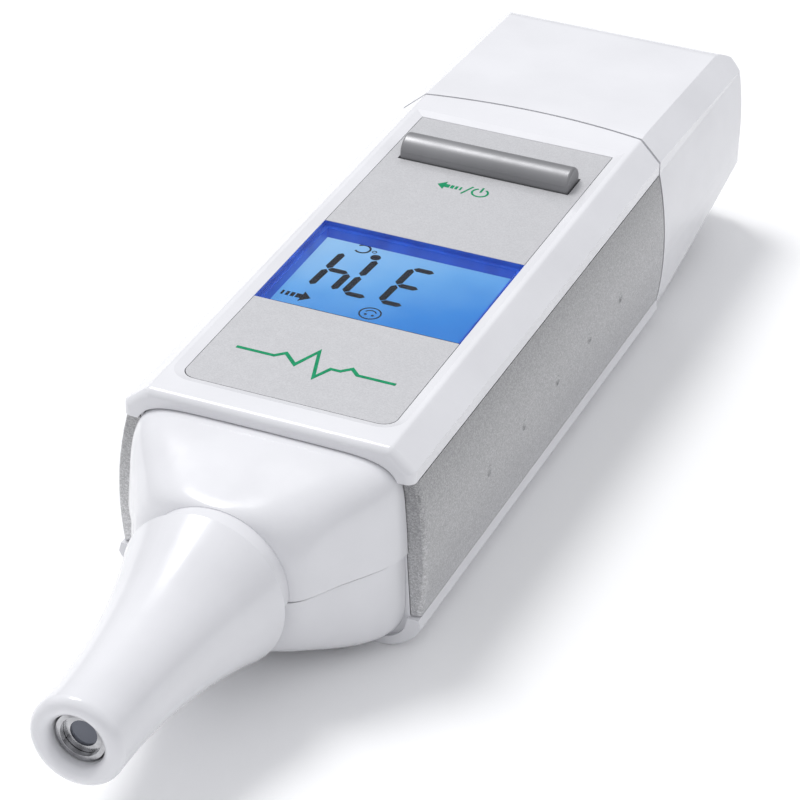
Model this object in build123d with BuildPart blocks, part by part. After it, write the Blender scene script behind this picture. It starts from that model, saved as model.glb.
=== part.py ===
from build123d import *
from math import atan, copysign, cos, degrees, pi, radians, sin, tan
import os

os.makedirs("parts", exist_ok=True)

# Digital ear thermometer, in millimetres.
# +Z is up, towards the display, and the resting surface is z = 0.  The probe points to -Y.
# The origin is under the middle of the overall length and width.

# ---------------------------------------------------------------- lengths, from the probe tip back
probe_length = 26.1         # tip to the rear face of the cone
neck_length = 2.05          # neck that shows between the cone and the nose
nose_length = 11.5
body_length = 69.55         # front of the casing to the middle of the parting line
cap_length = 28.3
overall_length = probe_length + neck_length + nose_length + body_length + cap_length

tip_y = -overall_length / 2
cone_rear_y = tip_y + probe_length
neck_y = cone_rear_y + neck_length
body_front_y = neck_y + nose_length
parting_y = body_front_y + body_length
rear_y = parting_y + cap_length

# ---------------------------------------------------------------- casing section
body_width = 32.6
body_height = 22.4
body_half = body_width / 2
top_inset = 3.73            # from the widest point in to the edge of the top face
shoulder_inset = 1.23
shoulder_drop = 2.09        # top face down to the lower edge of the chamfer
lip_height = 1.32           # upright lip under the chamfer
foot_inset = 0.5            # from the widest point in to the top edge of the bottom cover
foot_height = 3.7
bead_inset = 0.25           # widest line of the bottom cover
bead_z = 2.7
sole_inset = 4.8            # edge of the flat sole
widest_z = 9.0
split_z = 10.9              # top and bottom covers meet here, behind the side panels
wall = 1.4
wall_inset = 2.75           # outer face of the inner wall at the lip
wall_slope = 0.0787         # the inner wall leans outwards towards the bottom
ceiling_thick = 2.1
floor_thick = 1.4
seam_gap = 0.1              # between fixed casing pieces
edge_round = 0.6

top_half = body_half - top_inset
shoulder_half = body_half - shoulder_inset
shoulder_z = body_height - shoulder_drop
lip_z = shoulder_z - lip_height
foot_half = body_half - foot_inset
bead_half = body_half - bead_inset
sole_half = body_half - sole_inset
ceiling_z = body_height - ceiling_thick


def wall_x(z):
    """Outer face of the inner wall at height z."""
    return body_half - wall_inset + (lip_z - z) * wall_slope


# ---------------------------------------------------------------- parting line and front rim
parting_bow = 1.3           # how far the parting line bows back over the top face
parting_gap = 0.3
parting_radius = (top_half**2 + parting_bow**2) / (2 * parting_bow)
rim_reach = 0.45            # the rim of the top cover overhangs the nose
rim_round = 0.9             # front edge of that rim
side_panel_setback = 0.5
side_panel_round = 0.5      # front edge of the bulging face
cover_setback = 0.5         # inner walls and sole start behind the front of the casing
inner_front_y = body_front_y + cover_setback
rim_front_y = body_front_y - rim_reach

# ---------------------------------------------------------------- face panel, window and button
panel_front_margin = 3.8
panel_rear_margin = 6.05
panel_side_margin = 1.57
panel_sink = 0.3            # the plates lie below the frame, behind a shallow bevel
panel_bevel = 1.0
plate_thick = 0.8
plate_gap = 0.08
panel_corner = 1.5
window_front = 16.75        # front edge of the panel to the window
window_length = 17.1
window_ledge = 0.4
button_setback = 8.0        # rear edge of the panel to the middle of the button
button_end_margin = 1.43
button_depth = 3.6
button_height = 2.1         # above the plates
button_travel = 0.6
button_clearance = 0.15
button_side_share = 0.38    # upright part of the bar's side, the rest is its rounded top
button_edge_round = 0.3
button_flange = 0.8
flange_margin = 0.7

panel_half = top_half - panel_side_margin
panel_front_y = body_front_y + panel_front_margin
panel_rear_y = parting_y - panel_rear_margin
plate_top_z = body_height - panel_sink
plate_bottom_z = plate_top_z - plate_thick
window_y = panel_front_y + window_front + window_length / 2
window_front_y = window_y - window_length / 2
window_rear_y = window_y + window_length / 2
button_half = panel_half - button_end_margin
button_y = panel_rear_y - button_setback
button_top_z = plate_top_z + button_height
button_reach = button_depth / 2 + button_clearance

# ---------------------------------------------------------------- nose and probe
probe_z = 11.4              # height of the probe axis
nose_side_gap = 2.0         # widest point of the casing to the nose outline where they meet
nose_top_gap = 1.5          # below the top of the casing
nose_bottom_z = 0.6
nose_taper_top = 0.04       # the nose is a little narrower at its top
nose_squareness = 7.0       # exponent of the outline, 2 is round
nose_chin = 1.8             # the underside stays full and turns up late, 1 is as the top
nose_seam_z = 10.85
nose_seam_gap = 0.3
lower_nose_inset = 0.35     # the lower half stands in from the upper half
nose_wall = 1.5
neck_radius = 7.6
collar_radius = 6.3         # hidden part of the neck, inside the cone
collar_length = 3.2
core_bore_radius = 5.15
cone_base_radius = 8.3
cone_tip_radius = 4.6
cone_waist = 1.15           # hollow of the cone's curve at its middle
cone_rim_round = 0.5
tip_hole_radius = 2.66
cone_fit = 0.05

nose_root_wall = 3.6        # the cavity narrows towards the tongue
nose_front_wall = 1.0
cavity_share = 0.85         # how far the cavity's front end has turned round
neck_step = 0.1             # from the end of the nose's curve down to the neck
neck_show_gap = 0.15
tongue_fit = 0.15           # tongue of the nose inside the covers
tongue_length = 5.1
bead_setback = 3.1          # bead on the tongue, in a groove of the covers
bead_length = 1.0
bead_height = 0.35

nose_half = body_half - nose_side_gap
nose_top_z = body_height - nose_top_gap
nose_rear_y = inner_front_y - seam_gap
tongue_rear_y = nose_rear_y + tongue_length
bead_front_y = nose_rear_y + bead_setback
collar_front_y = cone_rear_y - collar_length

# ---------------------------------------------------------------- sensor in the tip
lip_round = (cone_tip_radius - tip_hole_radius) / 2
barrel_front_radius = 2.45
barrel_window_radius = 2.0
barrel_setback = 0.35       # behind the inner edge of the tip's rounded lip
barrel_lip = 0.6
barrel_radius = 3.7
barrel_bore_fit = 0.1
barrel_shoulder = 2.7       # length of the slim front part
barrel_length = 12.0
can_radius = 2.25
can_length = 2.9
can_skin = 0.2
can_window_radius = 1.33
can_flange_radius = 2.7
can_flange = 0.3
window_disc_radius = 1.8
window_disc_thick = 0.3
header_thick = 0.6
pin_circle = 1.27
pin_radius = 0.22
pin_length = 4.0
die_size = 1.1
die_thick = 0.4
seal_radius = 0.35
seal_setback = 7.0          # behind the front of the barrel
part_fit = 0.05

lip_y = tip_y + lip_round
barrel_y = lip_y + barrel_setback
can_y = barrel_y + barrel_lip
can_base_y = can_y + can_length

# ---------------------------------------------------------------- probe core
core_wall = 0.7
core_front = 3.0            # length of the socket that holds the barrel
core_flange_radius = 6.6
core_flange = 1.4
cavity_front_gap = 1.6      # nose cavity starts this far behind the neck

barrel_rear_y = barrel_y + barrel_length
core_front_y = barrel_rear_y - core_front
cavity_y = neck_y + cavity_front_gap

# ---------------------------------------------------------------- cells and their sleeve
cell_radius = 5.25
cell_length = 44.5
cell_nub_radius = 1.9
cell_nub = 0.9
cell_round = 0.5
cell_pitch = 11.6
cell_z = 9.6
cell_rear_gap = 8.65        # cell end to the rear of the cap
cell_clearance = 0.15
sleeve_wall = 0.9
sleeve_overhang = 9.5       # sleeve that stands out behind the casing, inside the cap
sleeve_front_wall = 1.3
sleeve_flange = 1.2
sleeve_flange_setback = 2.0
contact_gap = 2.4           # room for a contact at the end of a cell
contact_thick = 0.4
contact_width = 6.4
contact_height = 7.8
contact_tab = 2.6
spring_wire = 0.22
spring_base_radius = 2.9
spring_tip_radius = 1.9
spring_turns = 2.25
touch_gap = 0.05

cell_rear_y = rear_y - cell_rear_gap
cell_front_y = cell_rear_y - cell_length
bore_front_y = cell_front_y - contact_gap
sleeve_front_y = bore_front_y - sleeve_front_wall
sleeve_rear_y = parting_y + sleeve_overhang
bore_radius = cell_radius + cell_clearance
sleeve_radius = bore_radius + sleeve_wall
cell_x = cell_pitch / 2

# ---------------------------------------------------------------- cap
cap_wall = 1.5
cap_top_drop = 1.3          # the top slopes down to the rear
cap_sole_rise = 4.1         # the underside slopes up to the rear
cap_top_round = 5.0
cap_sole_round = 7.0
cap_end_bow = 2.75          # plan: bow of the rear end over the full width
cap_corner_round = 3.5
flank_tilt = 31.6           # degrees that the lower side edges' trim faces down
flank_slope = 0.11          # how fast that trim deepens towards the rear
rail_width = 2.0
rail_fit = 0.1
rib_thick = 1.2
bridge_height = 6.4

rail_reach = sleeve_radius + rail_fit
# ---------------------------------------------------------------- display and electronics
glass_thick = 1.6
glass_overlap = 0.9         # display glass beyond the window, front and rear
glass_gap = 0.1
frame_wall = 0.6
guide_thick = 1.0
zebra_width = 1.3
board_thick = 1.0
board_gap = 0.05
board_side_gap = 0.5
board_front_margin = 5.8
board_rear_margin = 1.2

glass_top_z = ceiling_z - glass_gap
glass_bottom_z = glass_top_z - glass_thick
board_top_z = glass_bottom_z - guide_thick - 3 * board_gap
board_bottom_z = board_top_z - board_thick
board_front_y = body_front_y + board_front_margin
board_rear_y = panel_rear_y - board_rear_margin

frame_side_gap = 0.1
led_width = 3.0
led_depth = 1.2
led_height = 0.9
led_pitch = 10.0
chip_size = 7.0
chip_height = 1.1
chip_chamfer = 0.2
crystal_x = 7.2
crystal_length = 7.5
crystal_width = 3.0
crystal_height = 1.3
crystal_round = 0.3
component_length = 1.6
component_width = 0.8
component_height = 0.6
component_pitch = 2.3
component_columns = 2
component_rows = 4
buzzer_x = 2.5
buzzer_setback = 11.0
buzzer_radius = 4.5
buzzer_height = 3.0
buzzer_hole_radius = 0.8
buzzer_hole_depth = 1.0
switch_length = 6.0
switch_width = 3.4
switch_height = 1.15
plunger_radius = 1.0
plunger_fit = 0.06
plunger_depth = 0.35        # plunger inside the switch when it is released
connector_setback = 2.3
connector_width = 6.0
connector_depth = 3.6
connector_height = 3.2
connector_pitch = 1.25
connector_socket = 2.2
wire_radius = 0.35
wire_first_run = 14.0
wire_last_run = 7.0
wire_bend_share = 0.45      # part of the shorter run that a bend takes up

buzzer_y = board_front_y + buzzer_setback
chip_y = (buzzer_y + buzzer_radius + sleeve_front_y) / 2
switch_top_z = board_top_z + switch_height

# ---------------------------------------------------------------- screws
screw_radius = 0.9
screw_head_radius = 1.8
screw_head = 1.2
screw_clearance = 0.15
screw_cross = 0.45
screw_hole_fit = 0.03
boss_radius = 1.9
boss_setback = 8.7          # front of the casing to the housing screws
boss_x_margin = 2.2         # inner wall to the axis of a boss
boss_joint_z = 7.7
boss_hole_depth = 8.0
head_seat_z = 2.5           # the heads are sunk this far into the sole
seat_thick = 1.5
seat_start_z = 0.7
post_radius = 1.6
post_margin = 2.1           # edge of the board to the axis of a post
post_setback = 6.5          # housing screws to the front board posts
board_screw_head = 0.8
board_screw_length = 3.2
ear_x = 8.2
ear_z = 3.4
ear_thick = 1.4
ear_length = 3.6
ear_half = 1.7
housing_screw_top_z = 14.5
screw_head_round = 0.3
screw_cross_reach = 4.6
screw_cross_depth = 0.5

boss_x = wall_x(split_z) - wall - boss_x_margin
boss_y = body_front_y + boss_setback
board_half = wall_x(board_top_z) - wall - board_side_gap
post_x = board_half - post_margin
post_places = [
    (side * post_x, y) for side in (-1, 1) for y in (boss_y + post_setback, board_rear_y - post_margin)
]
ear_y = sleeve_front_y - ear_length / 2

# ---------------------------------------------------------------- side panels
peg_radius = 0.9
peg_length = 1.3
peg_fit = 0.1
peg_z = 14.5
peg_setbacks = (11.0, 34.0, 57.0)
dimple_count = 5
dimple_pitch = 9.3
dimple_middle = 34.8        # front of the casing to the middle dimple
dimple_z = 11.4
dimple_radius = 0.95
dimple_depth = 0.28


# ================================================================ planes, outlines and helpers
def across(y):
    """Plane across the body at y: its own x is X, its own y is Z, and it faces the probe."""
    return Plane.XZ.offset(-y)


def on_probe(y):
    """Plane across the probe axis at y, centred on that axis."""
    return Plane(origin=(0, y, probe_z), x_dir=(1, 0, 0), z_dir=(0, -1, 0))


def between(start, end, share):
    return start + (end - start) * share


def tube(y_start, y_end, outer, inner):
    """Round tube on the probe axis, from y_start back to y_end."""
    with BuildPart() as piece:
        with BuildSketch(on_probe(y_start)):
            Circle(outer)
            if inner > 0:
                Circle(inner, mode=Mode.SUBTRACT)
        extrude(amount=y_start - y_end)
    return piece.part


def block(x_range, y_range, z_range):
    """Box between two values along each axis."""
    with BuildPart() as piece:
        with BuildSketch(Plane.XY.offset(z_range[0])):
            with Locations(((x_range[0] + x_range[1]) / 2, (y_range[0] + y_range[1]) / 2)):
                Rectangle(x_range[1] - x_range[0], y_range[1] - y_range[0])
        extrude(amount=z_range[1] - z_range[0])
    return piece.part


def post(x, y, z_range, radius):
    """Upright round post."""
    with BuildPart() as piece:
        with BuildSketch(Plane.XY.offset(z_range[0])):
            with Locations((x, y)):
                Circle(radius)
        extrude(amount=z_range[1] - z_range[0])
    return piece.part


def disc_in_plan(radius, y_middle, z_top):
    """Upright disc whose rear edge is the parting line."""
    return post(0, y_middle - parting_radius, (-1, z_top), radius)


def side_arc_points():
    return (
        (shoulder_half, lip_z),
        (body_half, widest_z),
        (foot_half, foot_height),
    )


def cap_outline():
    """Outer section of the cap, before its top edges are chamfered."""
    with BuildSketch() as outline:
        with BuildLine():
            Polyline((0, body_height), (shoulder_half, body_height), (shoulder_half, lip_z))
            side = ThreePointArc(*side_arc_points())
            TangentArc(side @ 1, (sole_half, 0), tangent=side % 1)
            Polyline((sole_half, 0), (0, 0), (0, body_height))
        make_face()
        mirror(about=Plane.YZ)
    return outline.sketch


def top_section():
    """Top cover as a filled section: top face, chamfer, lip and inner walls down to the split."""
    with BuildSketch() as outline:
        with BuildLine():
            Polyline(
                (0, body_height),
                (top_half, body_height),
                (shoulder_half, shoulder_z),
                (shoulder_half, lip_z),
                (wall_x(lip_z), lip_z),
                (wall_x(split_z), split_z),
                (0, split_z),
                (0, body_height),
            )
        make_face()
        mirror(about=Plane.YZ)
        fillet(outline.vertices().group_by(Axis.Y)[-1], edge_round)
    return outline.sketch


def bottom_section():
    """Bottom cover as a filled section: sole, rounded bead and inner walls up to the split."""
    with BuildSketch() as outline:
        with BuildLine():
            Polyline(
                (0, 0),
                (0, split_z - seam_gap),
                (wall_x(split_z), split_z - seam_gap),
                (wall_x(foot_height), foot_height),
                (foot_half, foot_height),
                (bead_half, bead_z),
            )
            TangentArc((sole_half, 0), (bead_half, bead_z), tangent=(1, 0))
            Line((sole_half, 0), (0, 0))
        make_face()
        mirror(about=Plane.YZ)
    return outline.sketch


def inside_section(shrink=0.0):
    """Hollow of the two covers, made smaller by shrink."""
    top = ceiling_z - shrink
    low = floor_thick + shrink
    with BuildSketch() as outline:
        with BuildLine():
            Polyline(
                (0, top),
                (wall_x(top) - wall - shrink, top),
                (wall_x(foot_height) - wall - shrink, foot_height),
                (sole_half + wall - shrink, low),
                (0, low),
                (0, top),
            )
        make_face()
        mirror(about=Plane.YZ)
    return outline.sketch


def side_section():
    """Right side panel: flat inner face against the wall, bulging outer face."""
    with BuildSketch() as outline:
        with BuildLine():
            ThreePointArc(*side_arc_points())
            Polyline(
                (foot_half, foot_height),
                (wall_x(foot_height) + seam_gap, foot_height),
                (wall_x(lip_z) + seam_gap, lip_z),
                (shoulder_half, lip_z),
            )
        make_face()
    return outline.sketch


def placed(sketch, y):
    """A section sketch, stood across the body at y."""
    return across(y) * sketch


def prism(sketch, y_start, y_end):
    """A section sketch run along the body from y_start back to y_end."""
    return extrude(placed(sketch, y_start), amount=y_start - y_end)


def nose_outline(share, inset):
    """Outline of the nose, from the casing (share 0) to the round neck (share 1)."""
    half = between(nose_half, neck_radius, share) - inset
    top = between(nose_top_z, probe_z + neck_radius, share) - inset
    low = between(nose_bottom_z, probe_z - neck_radius, share**nose_chin) + inset
    power = 2 / between(nose_squareness, 2, share)
    taper = between(nose_taper_top, 0, share)
    count = 40
    points = []
    for step in range(count):
        angle = 2 * pi * (step + 0.5) / count
        across_x = copysign(abs(cos(angle)) ** power, cos(angle))
        up_z = copysign(abs(sin(angle)) ** power, sin(angle))
        x = half * across_x * (1 - taper * up_z)
        z = (top + low) / 2 + (top - low) / 2 * up_z
        points.append((x, z))
    with BuildSketch() as outline:
        with BuildLine():
            Spline(*points, periodic=True)
        make_face()
    return outline.sketch


def nose_form(inset):
    """Solid nose: a smooth loft from the casing to the neck."""
    stations = ((0.0, 0.0), (0.09, 0.02), (0.20, 0.08), (0.40, 0.27), (0.72, 0.62), (1.0, 1.0))
    sections = [placed(nose_outline(share, inset), between(nose_rear_y, neck_y, along))
                for along, share in stations]
    return loft(sections)


def nose_cavity():
    """Hollow of the nose, from the tongue to just behind the neck."""
    sections = [
        placed(nose_outline(0.0, nose_root_wall), nose_rear_y + seam_gap),
        placed(nose_outline(0.45, nose_wall), between(nose_rear_y, cavity_y, 0.5)),
        placed(nose_outline(cavity_share, nose_front_wall), cavity_y),
    ]
    return loft(sections)


def half_nose(inset, keep, seam_z):
    """Half of the nose with its half of the neck, collar and tongue."""
    with BuildPart() as half:
        add(nose_form(inset))
        neck_end_y = cavity_y - nose_front_wall
        add(tube(cone_rear_y + neck_show_gap, neck_end_y, neck_radius - neck_step - inset, 0))
        add(tube(collar_front_y, neck_y + seam_gap, collar_radius, 0))
        add(prism(inside_section(tongue_fit), nose_rear_y - seam_gap, tongue_rear_y))
        add(prism(inside_section(tongue_fit - bead_height), bead_front_y, bead_front_y + bead_length))
        add(prism(inside_section(tongue_fit + wall), nose_rear_y + seam_gap, tongue_rear_y + 1),
            mode=Mode.SUBTRACT)
        add(nose_cavity(), mode=Mode.SUBTRACT)
        add(tube(collar_front_y - 1, cavity_y + seam_gap, core_bore_radius, 0), mode=Mode.SUBTRACT)
        split(bisect_by=Plane.XY.offset(seam_z), keep=keep)
    return half.part


def panel_plan(y_front, y_rear, grow, front_corner):
    """Plan of the face panel or a part of it, with its front corners rounded."""
    with BuildSketch() as plan:
        with Locations((0, (y_front + y_rear) / 2)):
            Rectangle(2 * (panel_half + grow), y_rear - y_front + 2 * grow)
        if front_corner > 0:
            fillet(plan.vertices().group_by(Axis.Y)[0], front_corner)
    return plan.sketch


def cap_chamfer(inset, y_front):
    """What the chamfer takes off the cap's right edge, sloping down with its top."""
    slope = cap_top_drop / cap_length
    rise = slope * (parting_y - y_front)
    across_x = shoulder_half - top_half
    with BuildPart() as wedge:
        with BuildSketch(across(y_front)):
            with BuildLine():
                Polyline(
                    (top_half - across_x, body_height + shoulder_drop + rise),
                    (shoulder_half + across_x, shoulder_z - shoulder_drop + rise),
                    (shoulder_half + across_x, body_height + shoulder_drop + rise),
                    close=True,
                )
            make_face()
            if inset > 0:
                offset(amount=inset, kind=Kind.INTERSECTION, mode=Mode.REPLACE)
        extrude(amount=rear_y - y_front, dir=(0, 1, -slope))
    return wedge.part


def cap_flank(inset):
    """What is trimmed off the cap's lower right edge, nothing at the parting line."""
    reach = cap_outline().rotate(Axis.Z, flank_tilt).bounding_box().max.X
    tilt = radians(flank_tilt)
    facing = Vector(cos(tilt), flank_slope, -sin(tilt)).normalized()
    start = Vector(reach * cos(tilt), parting_y, -reach * sin(tilt)) - facing * inset
    with BuildPart() as wedge:
        with BuildSketch(Plane(origin=start, z_dir=facing)):
            Rectangle(4 * cap_length, 4 * cap_length)
        extrude(amount=body_width)
    return wedge.part


def cap_form(inset, y_front):
    """Cap as a solid: its section, cut to its sloping side view and bowed plan."""
    y_end = rear_y - inset
    bow_radius = (body_half**2 + cap_end_bow**2) / (2 * cap_end_bow)
    slope_top = cap_top_drop / cap_length
    slope_sole = cap_sole_rise / cap_length
    with BuildPart() as form:
        with BuildSketch(across(y_front)):
            add(cap_outline())
            if inset > 0:
                offset(amount=-inset, kind=Kind.INTERSECTION, mode=Mode.REPLACE)
        extrude(amount=y_front - y_end)
        add(cap_chamfer(inset, y_front), mode=Mode.SUBTRACT)
        add(mirror(cap_chamfer(inset, y_front), about=Plane.YZ), mode=Mode.SUBTRACT)
        add(cap_flank(inset), mode=Mode.SUBTRACT)
        add(mirror(cap_flank(inset), about=Plane.YZ), mode=Mode.SUBTRACT)
        with BuildSketch(Plane.YZ) as side_view:
            with BuildLine():
                Polyline(
                    (y_front, body_height - inset - slope_top * (y_front - parting_y)),
                    (y_end, body_height - inset - slope_top * (y_end - parting_y)),
                    (y_end, inset + slope_sole * (y_end - parting_y)),
                    (y_front, inset + slope_sole * (y_front - parting_y)),
                    close=True,
                )
            make_face()
            ends = side_view.vertices().group_by(Axis.X)[-1].sort_by(Axis.Y)
            fillet(ends[0], cap_sole_round - inset)
            fillet(side_view.vertices().sort_by_distance((y_end, body_height))[0], cap_top_round - inset)
        extrude(amount=body_width, both=True, mode=Mode.INTERSECT)
        with BuildSketch() as plan:
            with Locations((0, y_end - bow_radius)):
                Circle(bow_radius)
            with Locations((0, y_front + (y_end - y_front) / 2)):
                Rectangle(2 * (body_half - inset), y_end - y_front, mode=Mode.INTERSECT)
            fillet(plan.vertices().group_by(Axis.Y)[-1], cap_corner_round - inset / 2)
        extrude(amount=2 * body_height, both=True, mode=Mode.INTERSECT)
    return form.part


def spring_coil(x, y_start, y_end):
    """Conical contact spring, wide at y_start and narrow at y_end."""
    facing = 1 if y_end > y_start else -1
    height = abs(y_end - y_start) - 2 * spring_wire
    narrowing = (spring_base_radius - spring_tip_radius) / height
    with BuildPart() as coil:
        with BuildLine() as path:
            turns = Helix(
                height / spring_turns,
                height,
                spring_base_radius,
                center=(x, y_start + facing * spring_wire, cell_z),
                direction=(0, facing, 0),
                cone_angle=-degrees(atan(narrowing)),
            )
        with BuildSketch(Plane(origin=turns @ 0, z_dir=turns % 0)):
            Circle(spring_wire)
        sweep(path=path.line, is_frenet=True)
    return coil.part


# ================================================================ casing
body_plan_radius = parting_radius - parting_gap / 2

with BuildPart() as top_cover:
    add(prism(top_section(), rim_front_y, parting_y + 1))
    rim_edges = top_cover.faces().sort_by(Axis.Y)[0].edges().filter_by_position(Axis.Z, lip_z, body_height)
    fillet(rim_edges.filter_by(lambda edge: edge.center().Z > lip_z + seam_gap), rim_round)
    add(prism(inside_section(), inner_front_y, parting_y + 2), mode=Mode.SUBTRACT)
    # The rim overhangs the nose, and only the rim reaches that far forward.
    add(prism(nose_outline(0, -seam_gap), rim_front_y - 1, inner_front_y), mode=Mode.SUBTRACT)
    add(block((-body_half, body_half), (rim_front_y - 1, inner_front_y), (0, lip_z)), mode=Mode.SUBTRACT)
    add(disc_in_plan(body_plan_radius, parting_y, body_height + 1), mode=Mode.INTERSECT)
    # Groove for the bead on the nose's tongue.
    add(prism(inside_section(-bead_height), bead_front_y - seam_gap, bead_front_y + bead_length + seam_gap),
        mode=Mode.SUBTRACT)
    # Pocket for the face panel, with a shallow bevel round it.
    with BuildSketch(Plane.XY.offset(plate_bottom_z)):
        add(panel_plan(panel_front_y, panel_rear_y, plate_gap, panel_corner))
    extrude(amount=body_height, mode=Mode.SUBTRACT)
    with BuildSketch(Plane.XY.offset(plate_top_z)):
        add(panel_plan(panel_front_y, panel_rear_y, plate_gap, panel_corner))
    with BuildSketch(Plane.XY.offset(body_height)):
        add(panel_plan(panel_front_y, panel_rear_y, plate_gap + panel_bevel, panel_corner + panel_bevel))
    loft(mode=Mode.SUBTRACT)
    # Bosses for the housing screws and posts for the board.
    for side in (-1, 1):
        add(post(side * boss_x, boss_y, (boss_joint_z + seam_gap, ceiling_z + seam_gap), boss_radius))
    for x, y in post_places:
        add(post(x, y, (board_top_z + board_gap, ceiling_z + seam_gap), post_radius))
    for side in (-1, 1):
        add(post(side * boss_x, boss_y, (0, boss_joint_z + boss_hole_depth), screw_radius + screw_hole_fit),
            mode=Mode.SUBTRACT)
    for x, y in post_places:
        add(post(x, y, (0, ceiling_z), screw_radius + screw_hole_fit), mode=Mode.SUBTRACT)
    # Openings for the display and for the button.
    add(
        block(
            (-panel_half + window_ledge, panel_half - window_ledge),
            (window_front_y + window_ledge, window_rear_y - window_ledge),
            (ceiling_z - 1, body_height),
        ),
        mode=Mode.SUBTRACT,
    )
    add(
        block(
            (-button_half - button_clearance, button_half + button_clearance),
            (button_y - button_reach, button_y + button_reach),
            (ceiling_z - 1, body_height),
        ),
        mode=Mode.SUBTRACT,
    )
    # Holes for the pegs of the side panels.
    for setback in peg_setbacks:
        with BuildSketch(Plane.YZ.offset(-body_half)):
            with Locations((body_front_y + setback, peg_z)):
                Circle(peg_radius + peg_fit)
        extrude(amount=body_width, mode=Mode.SUBTRACT)
top_cover.part.label = "top_cover"
export_step(top_cover.part, "parts/top_cover.step")

with BuildPart() as bottom_cover:
    add(prism(bottom_section(), body_front_y, parting_y + 1))
    add(prism(inside_section(), inner_front_y, parting_y + 2), mode=Mode.SUBTRACT)
    add(prism(nose_outline(0, -seam_gap), body_front_y - 1, inner_front_y), mode=Mode.SUBTRACT)
    add(block((-body_half, body_half), (body_front_y - 1, inner_front_y), (foot_height, body_height)),
        mode=Mode.SUBTRACT)
    add(disc_in_plan(body_plan_radius, parting_y, body_height + 1), mode=Mode.INTERSECT)
    add(prism(inside_section(-bead_height), bead_front_y - seam_gap, bead_front_y + bead_length + seam_gap),
        mode=Mode.SUBTRACT)
    for side in (-1, 1):
        add(post(side * boss_x, boss_y, (floor_thick / 2, boss_joint_z), boss_radius))
        add(post(side * boss_x, boss_y, (seat_start_z, head_seat_z + seat_thick), boss_radius + 1))
        add(post(side * ear_x, ear_y, (floor_thick / 2, ear_z - seam_gap), post_radius))
    for side in (-1, 1):
        add(post(side * boss_x, boss_y, (-1, head_seat_z), screw_head_radius + screw_clearance),
            mode=Mode.SUBTRACT)
        add(post(side * boss_x, boss_y, (-1, body_height), screw_radius + screw_clearance),
            mode=Mode.SUBTRACT)
        add(post(side * ear_x, ear_y, (floor_thick / 2, body_height), screw_radius + screw_hole_fit),
            mode=Mode.SUBTRACT)
bottom_cover.part.label = "bottom_cover"
export_step(bottom_cover.part, "parts/bottom_cover.step")

with BuildPart() as right_side_panel:
    add(prism(side_section(), body_front_y + side_panel_setback, parting_y + 1))
    add(block((0, body_width), (body_front_y, parting_y + 2), (foot_height + seam_gap, lip_z - seam_gap)),
        mode=Mode.INTERSECT)
    add(disc_in_plan(body_plan_radius, parting_y, body_height), mode=Mode.INTERSECT)
    fillet(right_side_panel.faces().sort_by(Axis.Y)[0].edges().sort_by(Axis.X)[-1], side_panel_round)
    for setback in peg_setbacks:
        with BuildSketch(Plane.YZ.offset(wall_x(peg_z) + 2 * seam_gap)):
            with Locations((body_front_y + setback, peg_z)):
                Circle(peg_radius)
        extrude(amount=-peg_length)
    for step in range(dimple_count):
        y = body_front_y + dimple_middle + (step - (dimple_count - 1) / 2) * dimple_pitch
        with Locations((body_half + dimple_radius - dimple_depth, y, dimple_z)):
            Sphere(dimple_radius, rotation=(0, 90, 0), mode=Mode.SUBTRACT)
right_side_panel.part.label = "right_side_panel"
export_step(right_side_panel.part, "parts/right_side_panel.step")

with BuildPart() as left_side_panel:
    add(mirror(right_side_panel.part, about=Plane.YZ))
left_side_panel.part.label = "left_side_panel"
export_step(left_side_panel.part, "parts/left_side_panel.step")

with BuildPart() as nose_upper:
    add(half_nose(0, Keep.TOP, nose_seam_z))
nose_upper.part.label = "nose_upper"
export_step(nose_upper.part, "parts/nose_upper.step")

with BuildPart() as nose_lower:
    add(half_nose(lower_nose_inset, Keep.BOTTOM, nose_seam_z - nose_seam_gap))
nose_lower.part.label = "nose_lower"
export_step(nose_lower.part, "parts/nose_lower.step")

# ================================================================ probe
with BuildPart() as probe_cone:
    with BuildSketch(Plane.YZ):
        with BuildLine():
            Polyline(
                (cone_rear_y, probe_z + collar_radius + cone_fit),
                (cone_rear_y, probe_z + cone_base_radius - cone_rim_round),
            )
            RadiusArc(
                (cone_rear_y, probe_z + cone_base_radius - cone_rim_round),
                (cone_rear_y - cone_rim_round, probe_z + cone_base_radius),
                cone_rim_round,
            )
            ThreePointArc(
                (cone_rear_y - cone_rim_round, probe_z + cone_base_radius),
                (
                    between(cone_rear_y - cone_rim_round, lip_y, 0.5),
                    probe_z + between(cone_base_radius, cone_tip_radius, 0.5) - cone_waist,
                ),
                (lip_y, probe_z + cone_tip_radius),
            )
            ThreePointArc(
                (lip_y, probe_z + cone_tip_radius),
                (tip_y, probe_z + tip_hole_radius + lip_round),
                (lip_y, probe_z + tip_hole_radius),
            )
            Polyline(
                (lip_y, probe_z + tip_hole_radius),
                (barrel_y + barrel_shoulder - barrel_bore_fit, probe_z + tip_hole_radius),
                (barrel_y + barrel_shoulder - barrel_bore_fit, probe_z + barrel_radius + barrel_bore_fit),
                (core_front_y - seam_gap, probe_z + barrel_radius + barrel_bore_fit),
                (collar_front_y - seam_gap, probe_z + collar_radius + cone_fit),
                (cone_rear_y, probe_z + collar_radius + cone_fit),
            )
        make_face()
    revolve(axis=Axis((0, 0, probe_z), (0, 1, 0)))
probe_cone.part.label = "probe_cone"
export_step(probe_cone.part, "parts/probe_cone.step")

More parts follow.
